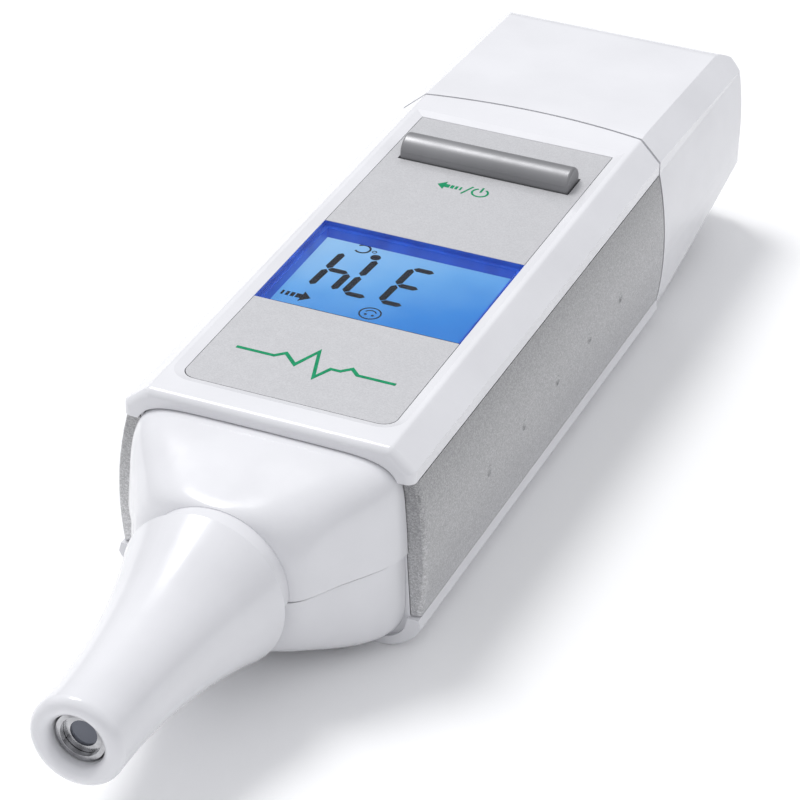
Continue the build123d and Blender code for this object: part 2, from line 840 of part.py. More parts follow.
with BuildPart() as probe_core:
    with BuildSketch(Plane.YZ):
        with BuildLine():
            Polyline(
                (core_front_y, probe_z + barrel_radius - core_wall),
                (core_front_y, probe_z + barrel_radius),
                (collar_front_y, probe_z + core_bore_radius - cone_fit),
                (cavity_y + seam_gap, probe_z + core_bore_radius - cone_fit),
                (cavity_y + seam_gap, probe_z + core_flange_radius),
                (cavity_y + seam_gap + core_flange, probe_z + core_flange_radius),
                (cavity_y + seam_gap + core_flange, probe_z + core_bore_radius - cone_fit - core_wall),
                (collar_front_y, probe_z + core_bore_radius - cone_fit - core_wall),
                (core_front_y, probe_z + barrel_radius - core_wall),
            )
        make_face()
    revolve(axis=Axis((0, 0, probe_z), (0, 1, 0)))
probe_core.part.label = "probe_core"
export_step(probe_core.part, "parts/probe_core.step")

# ================================================================ sensor
seal_y = barrel_y + seal_setback
barrel_end_y = core_front_y - seam_gap

with BuildPart() as sensor_barrel:
    add(tube(barrel_y, barrel_y + barrel_shoulder, barrel_front_radius, barrel_window_radius))
    add(tube(barrel_y + barrel_shoulder, barrel_end_y, barrel_radius, barrel_window_radius))
    add(tube(can_y - part_fit, can_base_y + can_flange, can_radius + part_fit, 0), mode=Mode.SUBTRACT)
    add(tube(can_base_y - part_fit, barrel_end_y + 1, can_flange_radius + part_fit, 0), mode=Mode.SUBTRACT)
    with BuildSketch(Plane.YZ):
        with Locations((seal_y, probe_z + barrel_radius)):
            Rectangle(2 * (seal_radius + part_fit), 4 * seal_radius)
    revolve(axis=Axis((0, 0, probe_z), (0, 1, 0)), mode=Mode.SUBTRACT)
sensor_barrel.part.label = "sensor_barrel"
export_step(sensor_barrel.part, "parts/sensor_barrel.step")

with BuildPart() as sensor_seal:
    with BuildSketch(Plane.YZ):
        with Locations((seal_y, probe_z + barrel_radius + barrel_bore_fit - part_fit / 2 - seal_radius)):
            Circle(seal_radius)
    revolve(axis=Axis((0, 0, probe_z), (0, 1, 0)))
sensor_seal.part.label = "sensor_seal"
export_step(sensor_seal.part, "parts/sensor_seal.step")

with BuildPart() as sensor_can:
    add(tube(can_y, can_y + can_skin, can_radius, can_window_radius))
    add(tube(can_y + can_skin, can_base_y, can_radius, can_radius - can_skin))
    add(tube(can_base_y, can_base_y + can_flange, can_flange_radius, can_radius - can_skin))
sensor_can.part.label = "sensor_can"
export_step(sensor_can.part, "parts/sensor_can.step")

with BuildPart() as sensor_window:
    add(tube(can_y + can_skin, can_y + can_skin + window_disc_thick, window_disc_radius, 0))
sensor_window.part.label = "sensor_window"
export_step(sensor_window.part, "parts/sensor_window.step")

header_y = can_base_y + can_flange
pin_places = [(side * pin_circle * cos(pi / 4), step * pin_circle * sin(pi / 4))
              for side in (-1, 1) for step in (-1, 1)]

with BuildPart() as sensor_header:
    add(tube(header_y, header_y + header_thick, can_flange_radius, 0))
    with BuildSketch(on_probe(header_y + header_thick)):
        with Locations(pin_places):
            Circle(pin_radius)
    extrude(amount=-pin_length)
sensor_header.part.label = "sensor_header"
export_step(sensor_header.part, "parts/sensor_header.step")

with BuildPart() as sensor_die:
    with BuildSketch(on_probe(header_y - die_thick)):
        Rectangle(die_size, die_size)
    extrude(amount=-die_thick)
sensor_die.part.label = "sensor_die"
export_step(sensor_die.part, "parts/sensor_die.step")

# ================================================================ face panel, window and button
with BuildPart() as face_plate_front:
    with BuildSketch(Plane.XY.offset(plate_bottom_z)):
        add(panel_plan(panel_front_y, window_front_y - plate_gap, 0, panel_corner))
    extrude(amount=plate_thick)
face_plate_front.part.label = "face_plate_front"
export_step(face_plate_front.part, "parts/face_plate_front.step")

with BuildPart() as display_window:
    with BuildSketch(Plane.XY.offset(plate_bottom_z)):
        add(panel_plan(window_front_y, window_rear_y, 0, 0))
    extrude(amount=plate_thick)
display_window.part.label = "display_window"
export_step(display_window.part, "parts/display_window.step")

with BuildPart() as face_plate_rear:
    with BuildSketch(Plane.XY.offset(plate_bottom_z)):
        add(panel_plan(window_rear_y + plate_gap, panel_rear_y, 0, 0))
        with Locations((0, button_y)):
            Rectangle(
                2 * (button_half + button_clearance),
                button_depth + 2 * button_clearance,
                mode=Mode.SUBTRACT,
            )
    extrude(amount=plate_thick)
face_plate_rear.part.label = "face_plate_rear"
export_step(face_plate_rear.part, "parts/face_plate_rear.step")

flange_top_z = ceiling_z - glass_gap

with BuildPart() as measure_button:
    with BuildSketch(Plane.YZ.offset(-button_half)):
        with BuildLine():
            Polyline(
                (button_y - button_depth / 2, plate_top_z + button_height * button_side_share),
                (button_y - button_depth / 2, flange_top_z),
                (button_y + button_depth / 2, flange_top_z),
                (button_y + button_depth / 2, plate_top_z + button_height * button_side_share),
            )
            ThreePointArc(
                (button_y - button_depth / 2, plate_top_z + button_height * button_side_share),
                (button_y, button_top_z),
                (button_y + button_depth / 2, plate_top_z + button_height * button_side_share),
            )
        make_face()
    extrude(amount=2 * button_half)
    ends = measure_button.edges().filter_by(Axis.X, reverse=True)
    fillet(ends.filter_by(Axis.Y, reverse=True), button_edge_round)
    add(
        block(
            (-button_half - flange_margin, button_half + flange_margin),
            (button_y - button_depth / 2 - flange_margin, button_y + button_depth / 2 + flange_margin),
            (flange_top_z - button_flange, flange_top_z),
        )
    )
measure_button.part.label = "measure_button"
export_step(measure_button.part, "parts/measure_button.step")

# ================================================================ display stack
frame_half = wall_x(ceiling_z) - wall - seam_gap - frame_side_gap
glass_half = frame_half - frame_wall - part_fit
glass_reach = window_length / 2 + glass_overlap
frame_reach = glass_reach + frame_wall + part_fit
guide_reach = glass_reach - zebra_width - 2 * board_gap
guide_z = board_top_z + board_gap

with BuildPart() as lcd_glass:
    add(block((-glass_half, glass_half), (window_y - glass_reach, window_y + glass_reach),
              (glass_bottom_z, glass_top_z)))
lcd_glass.part.label = "lcd_glass"
export_step(lcd_glass.part, "parts/lcd_glass.step")

with BuildPart() as lcd_frame:
    add(block((-frame_half, frame_half), (window_y - frame_reach, window_y + frame_reach),
              (guide_z, glass_top_z)))
    add(block((-glass_half - part_fit, glass_half + part_fit),
              (window_y - glass_reach - part_fit, window_y + glass_reach + part_fit),
              (0, body_height)), mode=Mode.SUBTRACT)
lcd_frame.part.label = "lcd_frame"
export_step(lcd_frame.part, "parts/lcd_frame.step")

led_places = [-led_pitch / 2, led_pitch / 2]

with BuildPart() as light_guide:
    add(block((-glass_half + part_fit, glass_half - part_fit),
              (window_y - guide_reach, window_y + guide_reach), (guide_z, guide_z + guide_thick)))
    for x in led_places:
        add(block((x - led_width / 2 - part_fit, x + led_width / 2 + part_fit),
                  (window_y - guide_reach - 1, window_y - guide_reach + led_depth + part_fit),
                  (0, body_height)), mode=Mode.SUBTRACT)
light_guide.part.label = "light_guide"
export_step(light_guide.part, "parts/light_guide.step")

with BuildPart() as backlight_leds:
    for x in led_places:
        add(block((x - led_width / 2, x + led_width / 2),
                  (window_y - guide_reach, window_y - guide_reach + led_depth),
                  (board_top_z, board_top_z + led_height)))
backlight_leds.part.label = "backlight_leds"
export_step(backlight_leds.part, "parts/backlight_leds.step")


def zebra_strip(end):
    """Rubber contact strip under one long edge of the display glass."""
    y_inner = window_y + end * (guide_reach + board_gap)
    y_outer = window_y + end * (glass_reach - board_gap)
    return block(
        (-glass_half + part_fit, glass_half - part_fit),
        (min(y_inner, y_outer), max(y_inner, y_outer)),
        (guide_z, glass_bottom_z - board_gap),
    )


with BuildPart() as zebra_strip_front:
    add(zebra_strip(-1))
zebra_strip_front.part.label = "zebra_strip_front"
export_step(zebra_strip_front.part, "parts/zebra_strip_front.step")

with BuildPart() as zebra_strip_rear:
    add(zebra_strip(1))
zebra_strip_rear.part.label = "zebra_strip_rear"
export_step(zebra_strip_rear.part, "parts/zebra_strip_rear.step")

# ================================================================ board and what is on it
with BuildPart() as main_board:
    add(block((-board_half, board_half), (board_front_y, board_rear_y), (board_bottom_z, board_top_z)))
    for side in (-1, 1):
        notch = block((boss_x - boss_radius - board_side_gap, body_width),
                      (board_front_y - 1, boss_y + boss_radius + board_side_gap), (0, body_height))
        add(notch if side > 0 else mirror(notch, about=Plane.YZ), mode=Mode.SUBTRACT)
    for x, y in post_places:
        add(post(x, y, (0, body_height), screw_radius + screw_clearance), mode=Mode.SUBTRACT)
main_board.part.label = "main_board"
export_step(main_board.part, "parts/main_board.step")

under_board_z = board_bottom_z - board_gap

with BuildPart() as controller_chip:
    add(block((-chip_size / 2, chip_size / 2), (chip_y - chip_size / 2, chip_y + chip_size / 2),
              (under_board_z - chip_height, under_board_z)))
    chamfer(controller_chip.edges().group_by(Axis.Z)[0], chip_chamfer)
controller_chip.part.label = "controller_chip"
export_step(controller_chip.part, "parts/controller_chip.step")

with BuildPart() as crystal:
    with BuildSketch(Plane.XY.offset(under_board_z - crystal_height)):
        with Locations((crystal_x, chip_y)):
            SlotOverall(crystal_length, crystal_width, rotation=90)
    extrude(amount=crystal_height)
    fillet(crystal.edges().group_by(Axis.Z)[0], crystal_round)
crystal.part.label = "crystal"
export_step(crystal.part, "parts/crystal.step")

with BuildPart() as small_components:
    with BuildSketch(Plane.XY.offset(under_board_z - component_height)):
        with Locations((-crystal_x, chip_y)):
            with GridLocations(component_pitch, component_pitch, component_columns, component_rows):
                Rectangle(component_length, component_width)
    extrude(amount=component_height)
small_components.part.label = "small_components"
export_step(small_components.part, "parts/small_components.step")

with BuildPart() as buzzer:
    add(post(-buzzer_x, buzzer_y, (under_board_z - buzzer_height, under_board_z), buzzer_radius))
    fillet(buzzer.edges().group_by(Axis.Z)[0], crystal_round)
    hole_top_z = under_board_z - buzzer_height + buzzer_hole_depth
    add(post(-buzzer_x, buzzer_y, (0, hole_top_z), buzzer_hole_radius), mode=Mode.SUBTRACT)
buzzer.part.label = "buzzer"
export_step(buzzer.part, "parts/buzzer.step")

with BuildPart() as switch_body:
    add(block((-switch_length / 2, switch_length / 2),
              (button_y - switch_width / 2, button_y + switch_width / 2),
              (board_top_z + board_gap, switch_top_z)))
    add(post(0, button_y, (switch_top_z - plunger_depth - button_travel - part_fit, body_height),
             plunger_radius + plunger_fit), mode=Mode.SUBTRACT)
switch_body.part.label = "switch_body"
export_step(switch_body.part, "parts/switch_body.step")

with BuildPart() as switch_plunger:
    add(post(0, button_y, (switch_top_z - plunger_depth, flange_top_z - button_flange - touch_gap),
             plunger_radius))
switch_plunger.part.label = "switch_plunger"
export_step(switch_plunger.part, "parts/switch_plunger.step")

connector_y = board_front_y + connector_setback
connector_bottom_z = under_board_z - connector_height

with BuildPart() as sensor_connector:
    add(block((-connector_width / 2, connector_width / 2),
              (connector_y - connector_depth / 2, connector_y + connector_depth / 2),
              (connector_bottom_z, under_board_z)))
    wire_z = connector_bottom_z + connector_height / 2
    with BuildSketch(across(connector_y - connector_depth / 2)):
        with Locations([((step - 1.5) * connector_pitch, wire_z) for step in range(4)]):
            Circle(wire_radius + part_fit)
    extrude(amount=-connector_socket, mode=Mode.SUBTRACT)
sensor_connector.part.label = "sensor_connector"
export_step(sensor_connector.part, "parts/sensor_connector.step")

wire_front_y = header_y + header_thick + pin_length + part_fit
wire_rear_y = connector_y - connector_depth / 2 + connector_socket - part_fit
wire_order = ((-1, -1), (-1, 1), (1, 1), (1, -1))

with BuildPart() as sensor_wires:
    for step, (side, level) in enumerate(wire_order):
        x_front = side * pin_circle * cos(pi / 4)
        z_front = probe_z + level * pin_circle * sin(pi / 4)
        x_rear = (step - 1.5) * connector_pitch
        route = [
            (x_front, wire_front_y, z_front),
            (x_front, wire_front_y + wire_first_run, z_front),
            (x_rear, wire_rear_y - wire_last_run, wire_z),
            (x_rear, wire_rear_y, wire_z),
        ]
        runs = [(Vector(b) - Vector(a)) for a, b in zip(route, route[1:])]
        radii = [
            wire_bend_share * min(a.length, b.length) / tan(a.get_angle(b) * pi / 360)
            for a, b in zip(runs, runs[1:])
        ]
        with BuildLine():
            path = FilletPolyline(*route, radius=radii)
        with BuildSketch(Plane(origin=route[0], x_dir=(1, 0, 0), z_dir=(0, 1, 0))):
            Circle(wire_radius)
        sweep(path=path)
sensor_wires.part.label = "sensor_wires"
export_step(sensor_wires.part, "parts/sensor_wires.step")


# ================================================================ cells, sleeve and contacts
def stadium(radius):
    """Outline round both cells, across the body."""
    with BuildSketch() as outline:
        with Locations((0, cell_z)):
            SlotCenterToCenter(cell_pitch, 2 * radius)
    return outline.sketch


def cell(x, y_start, y_end):
    """Round cell body between two values of y, without its nub."""
    with BuildPart() as piece:
        with BuildSketch(across(y_start)):
            with Locations((x, cell_z)):
                Circle(cell_radius)
        extrude(amount=y_start - y_end)
        fillet(piece.edges().filter_by(GeomType.CIRCLE), cell_round)
    return piece.part


def nub(x, y_start, y_end):
    with BuildPart() as piece:
        with BuildSketch(across(y_start)):
            with Locations((x, cell_z)):
                Circle(cell_nub_radius)
        extrude(amount=y_start - y_end)
    return piece.part


with BuildPart() as battery_left:
    add(cell(-cell_x, cell_front_y + cell_nub, cell_rear_y))
    add(nub(-cell_x, cell_front_y, cell_front_y + cell_nub + seam_gap))
battery_left.part.label = "battery_left"
export_step(battery_left.part, "parts/battery_left.step")

with BuildPart() as battery_right:
    add(cell(cell_x, cell_front_y, cell_rear_y - cell_nub))
    add(nub(cell_x, cell_rear_y - cell_nub - seam_gap, cell_rear_y))
battery_right.part.label = "battery_right"
export_step(battery_right.part, "parts/battery_right.step")

flange_rear_y = parting_y - sleeve_flange_setback

with BuildPart() as battery_sleeve:
    add(prism(stadium(sleeve_radius), sleeve_front_y, sleeve_rear_y))
    add(prism(inside_section(seam_gap), flange_rear_y - sleeve_flange, flange_rear_y))
    for side in (-1, 1):
        add(block((side * ear_x - ear_half, side * ear_x + ear_half),
                  (sleeve_front_y - ear_length, sleeve_front_y + sleeve_front_wall),
                  (ear_z, ear_z + ear_thick)))
        add(post(side * ear_x, ear_y, (0, body_height), screw_radius + screw_clearance), mode=Mode.SUBTRACT)
        with BuildSketch(across(bore_front_y)):
            with Locations((side * cell_x, cell_z)):
                Circle(bore_radius)
        extrude(amount=-body_length, mode=Mode.SUBTRACT)
        add(block((side * cell_x - contact_tab / 2 - seam_gap, side * cell_x + contact_tab / 2 + seam_gap),
                  (bore_front_y - seam_gap, bore_front_y + contact_thick + seam_gap),
                  (cell_z, body_height)), mode=Mode.SUBTRACT)
battery_sleeve.part.label = "battery_sleeve"
export_step(battery_sleeve.part, "parts/battery_sleeve.step")


def front_contact(x):
    """Contact plate at the front of a bore, with a tab up to the board."""
    y_front = bore_front_y + part_fit
    with BuildPart() as piece:
        add(block((x - contact_width / 2, x + contact_width / 2), (y_front, y_front + contact_thick),
                  (cell_z - contact_height / 2, cell_z + contact_height / 2)))
        add(block((x - contact_tab / 2, x + contact_tab / 2), (y_front, y_front + contact_thick),
                  (cell_z, under_board_z)))
    return piece.part


contact_face_y = bore_front_y + part_fit + contact_thick

with BuildPart() as contact_positive:
    add(front_contact(-cell_x))
    add(nub(-cell_x, contact_face_y - seam_gap, cell_front_y - touch_gap))
contact_positive.part.label = "contact_positive"
export_step(contact_positive.part, "parts/contact_positive.step")

with BuildPart() as contact_negative:
    add(front_contact(cell_x))
    add(spring_coil(cell_x, contact_face_y - part_fit, cell_front_y - touch_gap))
contact_negative.part.label = "contact_negative"
export_step(contact_negative.part, "parts/contact_negative.step")

# ================================================================ cap and its contacts
bridge_y = cell_rear_y + contact_gap

with BuildPart() as battery_cap:
    add(cap_form(0, parting_y - parting_bow * 4))
    add(cap_form(cap_wall, parting_y - parting_bow * 5), mode=Mode.SUBTRACT)
    for side in (-1, 1):
        for low, high in ((0, cell_z - rail_reach), (cell_z + rail_reach, body_height)):
            rail = block((side * cell_x - rail_width / 2, side * cell_x + rail_width / 2),
                         (parting_y - parting_bow, sleeve_rear_y), (low, high))
            add(rail & cap_form(cap_wall / 2, parting_y - parting_bow * 4))
    for x in (-cell_x, 0, cell_x):
        rib = block((x - rib_thick / 2, x + rib_thick / 2), (bridge_y + contact_thick + part_fit, rear_y),
                    (0, body_height))
        add(rib & cap_form(cap_wall / 2, parting_y))
    add(disc_in_plan(parting_radius + parting_gap / 2, parting_y, body_height + 1), mode=Mode.SUBTRACT)
battery_cap.part.label = "battery_cap"
export_step(battery_cap.part, "parts/battery_cap.step")

with BuildPart() as cap_contact_bridge:
    add(block((-cell_x - contact_width / 2, cell_x + contact_width / 2),
              (bridge_y, bridge_y + contact_thick),
              (cell_z - bridge_height / 2, cell_z + bridge_height / 2)))
    add(nub(cell_x, cell_rear_y + touch_gap, bridge_y + seam_gap))
cap_contact_bridge.part.label = "cap_contact_bridge"
export_step(cap_contact_bridge.part, "parts/cap_contact_bridge.step")

with BuildPart() as cap_contact_spring:
    add(spring_coil(-cell_x, bridge_y - part_fit, cell_rear_y + touch_gap))
cap_contact_spring.part.label = "cap_contact_spring"
export_step(cap_contact_spring.part, "parts/cap_contact_spring.step")


# ================================================================ screws
def screw(x, y, z_head, head_height, z_tip, facing):
    """Self-tapping screw: facing -1 has its head below, +1 has it above."""
    z_seat = z_head - facing * head_height
    with BuildPart() as piece:
        add(post(x, y, (min(z_head, z_seat), max(z_head, z_seat)), screw_head_radius))
        add(post(x, y, (min(z_seat, z_tip), max(z_seat, z_tip)), screw_radius))
        rim = piece.faces().sort_by(Axis.Z)[0 if facing < 0 else -1].edges()
        fillet(rim, screw_head_round)
        z_cut = z_head if facing < 0 else z_head - screw_cross_depth
        for across_x, along_y in ((1, screw_cross_reach), (screw_cross_reach, 1)):
            half_x = across_x * screw_cross / 2
            half_y = along_y * screw_cross / 2
            slot = block((x - half_x, x + half_x), (y - half_y, y + half_y),
                         (z_cut, z_cut + screw_cross_depth))
            add(slot, mode=Mode.SUBTRACT)
    return piece.part


with BuildPart() as housing_screws:
    for side in (-1, 1):
        add(screw(side * boss_x, boss_y, head_seat_z - screw_head, screw_head, housing_screw_top_z, -1))
housing_screws.part.label = "housing_screws"
export_step(housing_screws.part, "parts/housing_screws.step")

with BuildPart() as board_screws:
    for x, y in post_places:
        add(screw(x, y, under_board_z - board_screw_head, board_screw_head,
                  under_board_z + board_screw_length, -1))
board_screws.part.label = "board_screws"
export_step(board_screws.part, "parts/board_screws.step")

with BuildPart() as sleeve_screws:
    for side in (-1, 1):
        add(screw(side * ear_x, ear_y, ear_z + ear_thick + board_screw_head, board_screw_head,
                  floor_thick, 1))
sleeve_screws.part.label = "sleeve_screws"
export_step(sleeve_screws.part, "parts/sleeve_screws.step")
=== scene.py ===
"""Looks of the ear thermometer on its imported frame.

Lengths are in metres in the frame's axes: the probe points along -Y, the display looks
up along +Z, and the casing rests on Z = 0.
"""

from math import cos, radians, sin

import bmesh
import bpy
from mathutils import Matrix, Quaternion, Vector


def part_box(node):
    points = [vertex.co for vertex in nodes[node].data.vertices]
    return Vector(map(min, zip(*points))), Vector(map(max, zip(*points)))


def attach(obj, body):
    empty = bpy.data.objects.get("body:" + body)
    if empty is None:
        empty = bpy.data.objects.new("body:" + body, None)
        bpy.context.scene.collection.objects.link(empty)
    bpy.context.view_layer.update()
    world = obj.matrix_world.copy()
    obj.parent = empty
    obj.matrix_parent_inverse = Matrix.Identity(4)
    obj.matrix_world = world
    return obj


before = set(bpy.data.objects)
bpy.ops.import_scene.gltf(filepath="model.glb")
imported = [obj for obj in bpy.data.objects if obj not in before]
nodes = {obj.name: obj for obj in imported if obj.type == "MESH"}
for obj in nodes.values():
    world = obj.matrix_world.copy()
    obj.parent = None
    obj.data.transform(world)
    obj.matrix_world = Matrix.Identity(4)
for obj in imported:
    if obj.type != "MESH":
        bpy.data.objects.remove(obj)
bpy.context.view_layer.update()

MM = 0.001


# ---------------------------------------------------------------- material helpers
def linear(hex_colour):
    """The linear RGBA of an sRGB colour such as "D2D2D2"."""
    channels = []
    for start in (0, 2, 4):
        value = int(hex_colour[start:start + 2], 16) / 255
        channels.append(value / 12.92 if value <= 0.04045 else ((value + 0.055) / 1.055) ** 2.4)
    return (*channels, 1.0)


class Finish:
    """One procedural material: a Principled shader fed by textures in object coordinates."""

    def __init__(self, name, **sockets):
        self.material = bpy.data.materials.new(name)
        self.material.use_nodes = True
        self.tree = self.material.node_tree
        self.shader = self.tree.nodes["Principled BSDF"]
        self.place = self.tree.nodes.new("ShaderNodeTexCoord").outputs["Object"]
        for socket, value in sockets.items():
            self.shader.inputs[socket.replace("_", " ")].default_value = value

    def node(self, kind, **inputs):
        made = self.tree.nodes.new(kind)
        for socket, value in inputs.items():
            self.feed(made.inputs[socket.replace("_", " ")], value)
        return made

    def feed(self, socket, value):
        """A value, or another node's output, into a socket."""
        if isinstance(value, bpy.types.NodeSocket):
            self.tree.links.new(value, socket)
        else:
            socket.default_value = value

    def noise(self, size, detail=2.0):
        """Noise whose blotches are about size metres across."""
        made = self.node("ShaderNodeTexNoise", Vector=self.place, Scale=1 / size, Detail=detail)
        return made.outputs["Fac"]

    def flakes(self, size):
        """A random grey for each cell of about size metres."""
        made = self.node("ShaderNodeTexVoronoi", Vector=self.place, Scale=1 / size)
        split = self.node("ShaderNodeSeparateColor", Color=made.outputs["Color"])
        return split.outputs["Red"]

    def axis(self, name):
        """One object coordinate, in metres."""
        return self.node("ShaderNodeSeparateXYZ", Vector=self.place).outputs[name]

    def span(self, value, low, high, start=0.0, end=1.0):
        """value moved from low...high to start...end, and held there."""
        made = self.node("ShaderNodeMapRange", Value=value)
        for socket, number in zip(("From Min", "From Max", "To Min", "To Max"), (low, high, start, end)):
            made.inputs[socket].default_value = number
        return made.outputs["Result"]

    def total(self, first, second):
        made = self.node("ShaderNodeMath")
        made.operation = "ADD"
        self.feed(made.inputs[0], first)
        self.feed(made.inputs[1], second)
        return made.outputs["Value"]

    def blend(self, share, bottom, top):
        """One colour at share 0, turning into another at share 1."""
        made = self.node("ShaderNodeMix", Factor=share)
        made.data_type = "RGBA"
        for socket, colour in zip([s for s in made.inputs if s.type == "RGBA"], (bottom, top)):
            self.feed(socket, colour)
        return next(s for s in made.outputs if s.type == "RGBA")

    def ramp(self, value, *stops):
        """Colours (position, hex) along value."""
        made = self.node("ShaderNodeValToRGB", Fac=value)
        ramp = made.color_ramp
        while len(ramp.elements) < len(stops):
            ramp.elements.new(0.5)
        for element, (position, colour) in zip(ramp.elements, stops):
            element.position = position
            element.color = linear(colour)
        return made.outputs["Color"]

    def colour(self, value, *stops):
        """Base colours (position, hex) along value."""
        self.feed(self.shader.inputs["Base Color"], self.ramp(value, *stops))

    def roughness(self, value, low, high):
        """Roughness from low to high over the middle of a noise."""
        self.feed(self.shader.inputs["Roughness"], self.span(value, 0.3, 0.7, low, high))

    def relief(self, value, height):
        """Bumps of about height metres."""
        made = self.node("ShaderNodeBump", Height=value, Distance=height)
        self.feed(self.shader.inputs["Normal"], made.outputs["Normal"])


def moulded(name, dark, light, rough, grain=0.6 * MM, height=0.004 * MM, **sockets):
    """Moulded plastic: a faint mottle, uneven gloss and a fine grain."""
    finish = Finish(name, **sockets)
    finish.colour(finish.noise(9 * MM, 3), (0.3, dark), (0.7, light))
    finish.roughness(finish.noise(2.5 * MM), *rough)
    finish.relief(finish.noise(grain, 1), height)
    return finish


def metal(name, dark, light, rough):
    """Bare metal: cloudy, with a fine grain that shows in its gloss and its relief."""
    finish = Finish(name, Metallic=1.0)
    grain = finish.noise(0.12 * MM, 3)
    finish.colour(finish.noise(1.5 * MM, 3), (0.3, dark), (0.7, light))
    finish.roughness(grain, *rough)
    finish.relief(grain, 0.002 * MM)
    return finish


# ---------------------------------------------------------------- materials of the outside
def casing_white():
    """Glossy white ABS."""
    return moulded("casing_white", "E4E4E7", "EAEAED", (0.2, 0.27), height=0.003 * MM,
                   Coat_Weight=0.3, Coat_Roughness=0.08)


def side_silver():
    """Silver paint: flakes under a satin lacquer. The change from darker at the top to lighter towards the
    sole is painted reflection of the white floor.
    """
    finish = Finish("side_silver", Metallic=0.8, Coat_Weight=0.15, Coat_Roughness=0.3)
    flakes = finish.flakes(0.12 * MM)
    low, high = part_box("right_side_panel")
    height = finish.span(finish.axis("Z"), low.z, high.z)
    # Painted reflection: the lighter sole ramp stands in for the white floor mirrored low on the panel, and
    # the darker top ramp for the shade above it. The flakes themselves are the paint's own.
    bottom = finish.ramp(flakes, (0.0, "B4B4B5"), (0.5, "C6C6C7"), (1.0, "DEDEDF"))
    top = finish.ramp(flakes, (0.0, "848485"), (0.5, "969697"), (1.0, "AEAEAF"))
    finish.feed(finish.shader.inputs["Base Color"], finish.blend(height, bottom, top))
    finish.feed(finish.shader.inputs["Roughness"], finish.span(flakes, 0, 1, 0.34, 0.46))
    finish.relief(finish.noise(0.14 * MM, 2), 0.002 * MM)
    return finish


def panel_grey():
    """Satin silver-grey lacquer of the face plates, with a very fine flake."""
    finish = Finish("panel_grey", Metallic=0.3, Specular_IOR_Level=0.4)
    finish.colour(finish.flakes(0.09 * MM), (0.0, "C2C2C4"), (1.0, "D0D0D2"))
    finish.roughness(finish.noise(1.2 * MM), 0.38, 0.46)
    finish.relief(finish.noise(0.15 * MM), 0.002 * MM)
    return finish


def button_grey():
    """Grey satin lacquer of the button."""
    return moulded("button_grey", "8A8A8C", "949496", (0.4, 0.48), grain=0.3 * MM, height=0.002 * MM,
                   Metallic=0.6)


def window_clear():
    """Clear acrylic with the faint waviness of a moulding."""
    finish = Finish("window_clear", Transmission_Weight=1.0, IOR=1.15)
    finish.shader.inputs["Base Color"].default_value = linear("FBFDFF")
    finish.roughness(finish.noise(4 * MM), 0.0, 0.015)
    return finish


def display_glass():
    """Backlit display: pale blue at the back left, deeper towards the front right."""
    low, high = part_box("lcd_glass")
    finish = Finish("display_glass", Roughness=0.3, Specular_IOR_Level=0.05)
    across_share = 0.8       # how much the depth across the display counts, against 1 along it
    across = finish.span(finish.axis("X"), low.x, high.x, 0, across_share)
    along = finish.span(finish.axis("Y"), high.y, low.y)
    unevenness = finish.span(finish.noise(7 * MM), 0.3, 0.7, -0.1, 0.1)
    diagonal = finish.total(finish.total(along, across), unevenness)
    glow = finish.span(diagonal, 0, 1 + across_share)
    finish.feed(finish.shader.inputs["Emission Color"],
                finish.ramp(glow, (0.0, "A9D4F6"), (0.4, "6CAEEC"), (0.7, "2F86DC"), (1.0, "1C6CCB")))
    finish.shader.inputs["Emission Strength"].default_value = 0.85
    finish.colour(glow, (0.0, "20405C"), (1.0, "123050"))
    return finish


def recess_shade_blue():
    """Dark blue sheet of painted shade for the display's recess, with a painted glow for the backlight
    falling on its walls, unevenly so.
    """
    finish = Finish("recess_shade_blue", Roughness=0.35, Emission_Strength=0.5)
    glow = finish.noise(3 * MM)
    finish.colour(glow, (0.3, "153F9C"), (0.7, "1A4FB8"))
    finish.feed(finish.shader.inputs["Emission Color"], finish.ramp(glow, (0.3, "1038A0"), (0.7, "1A4CB4")))
    return finish.material


def ink(name, dark, light):
    """Screen-printed ink or a dark display segment."""
    finish = Finish(name, Specular_IOR_Level=0.1)
    finish.colour(finish.noise(0.5 * MM, 2), (0.3, dark), (0.7, light))
    finish.roughness(finish.noise(0.4 * MM), 0.5, 0.62)
    return finish.material


# ---------------------------------------------------------------- materials of the inside
def main_board_green():
    """Solder mask with copper showing faintly under it."""
    finish = Finish("board_green", Specular_IOR_Level=0.5)
    finish.colour(finish.flakes(1.1 * MM), (0.0, "0E5A36"), (0.6, "136A40"), (1.0, "1E7D4C"))
    finish.roughness(finish.noise(0.8 * MM), 0.25, 0.4)
    finish.relief(finish.noise(0.5 * MM), 0.01 * MM)
    return finish


def cell_jacket():
    """Printed foil jacket, bare steel at both ends of the cell."""
    low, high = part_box("battery_left")
    finish = Finish("cell_jacket", Metallic=0.6)
    along = finish.span(finish.axis("Y"), low.y, high.y)
    finish.colour(along, (0.0, "B8B8BA"), (0.02, "B8B8BA"), (0.03, "23405E"), (0.24, "23405E"),
                  (0.25, "D8DCE0"), (0.97, "D8DCE0"), (0.98, "B8B8BA"))
    finish.roughness(finish.noise(3 * MM), 0.22, 0.34)
    finish.relief(finish.noise(1.2 * MM), 0.004 * MM)
    return finish


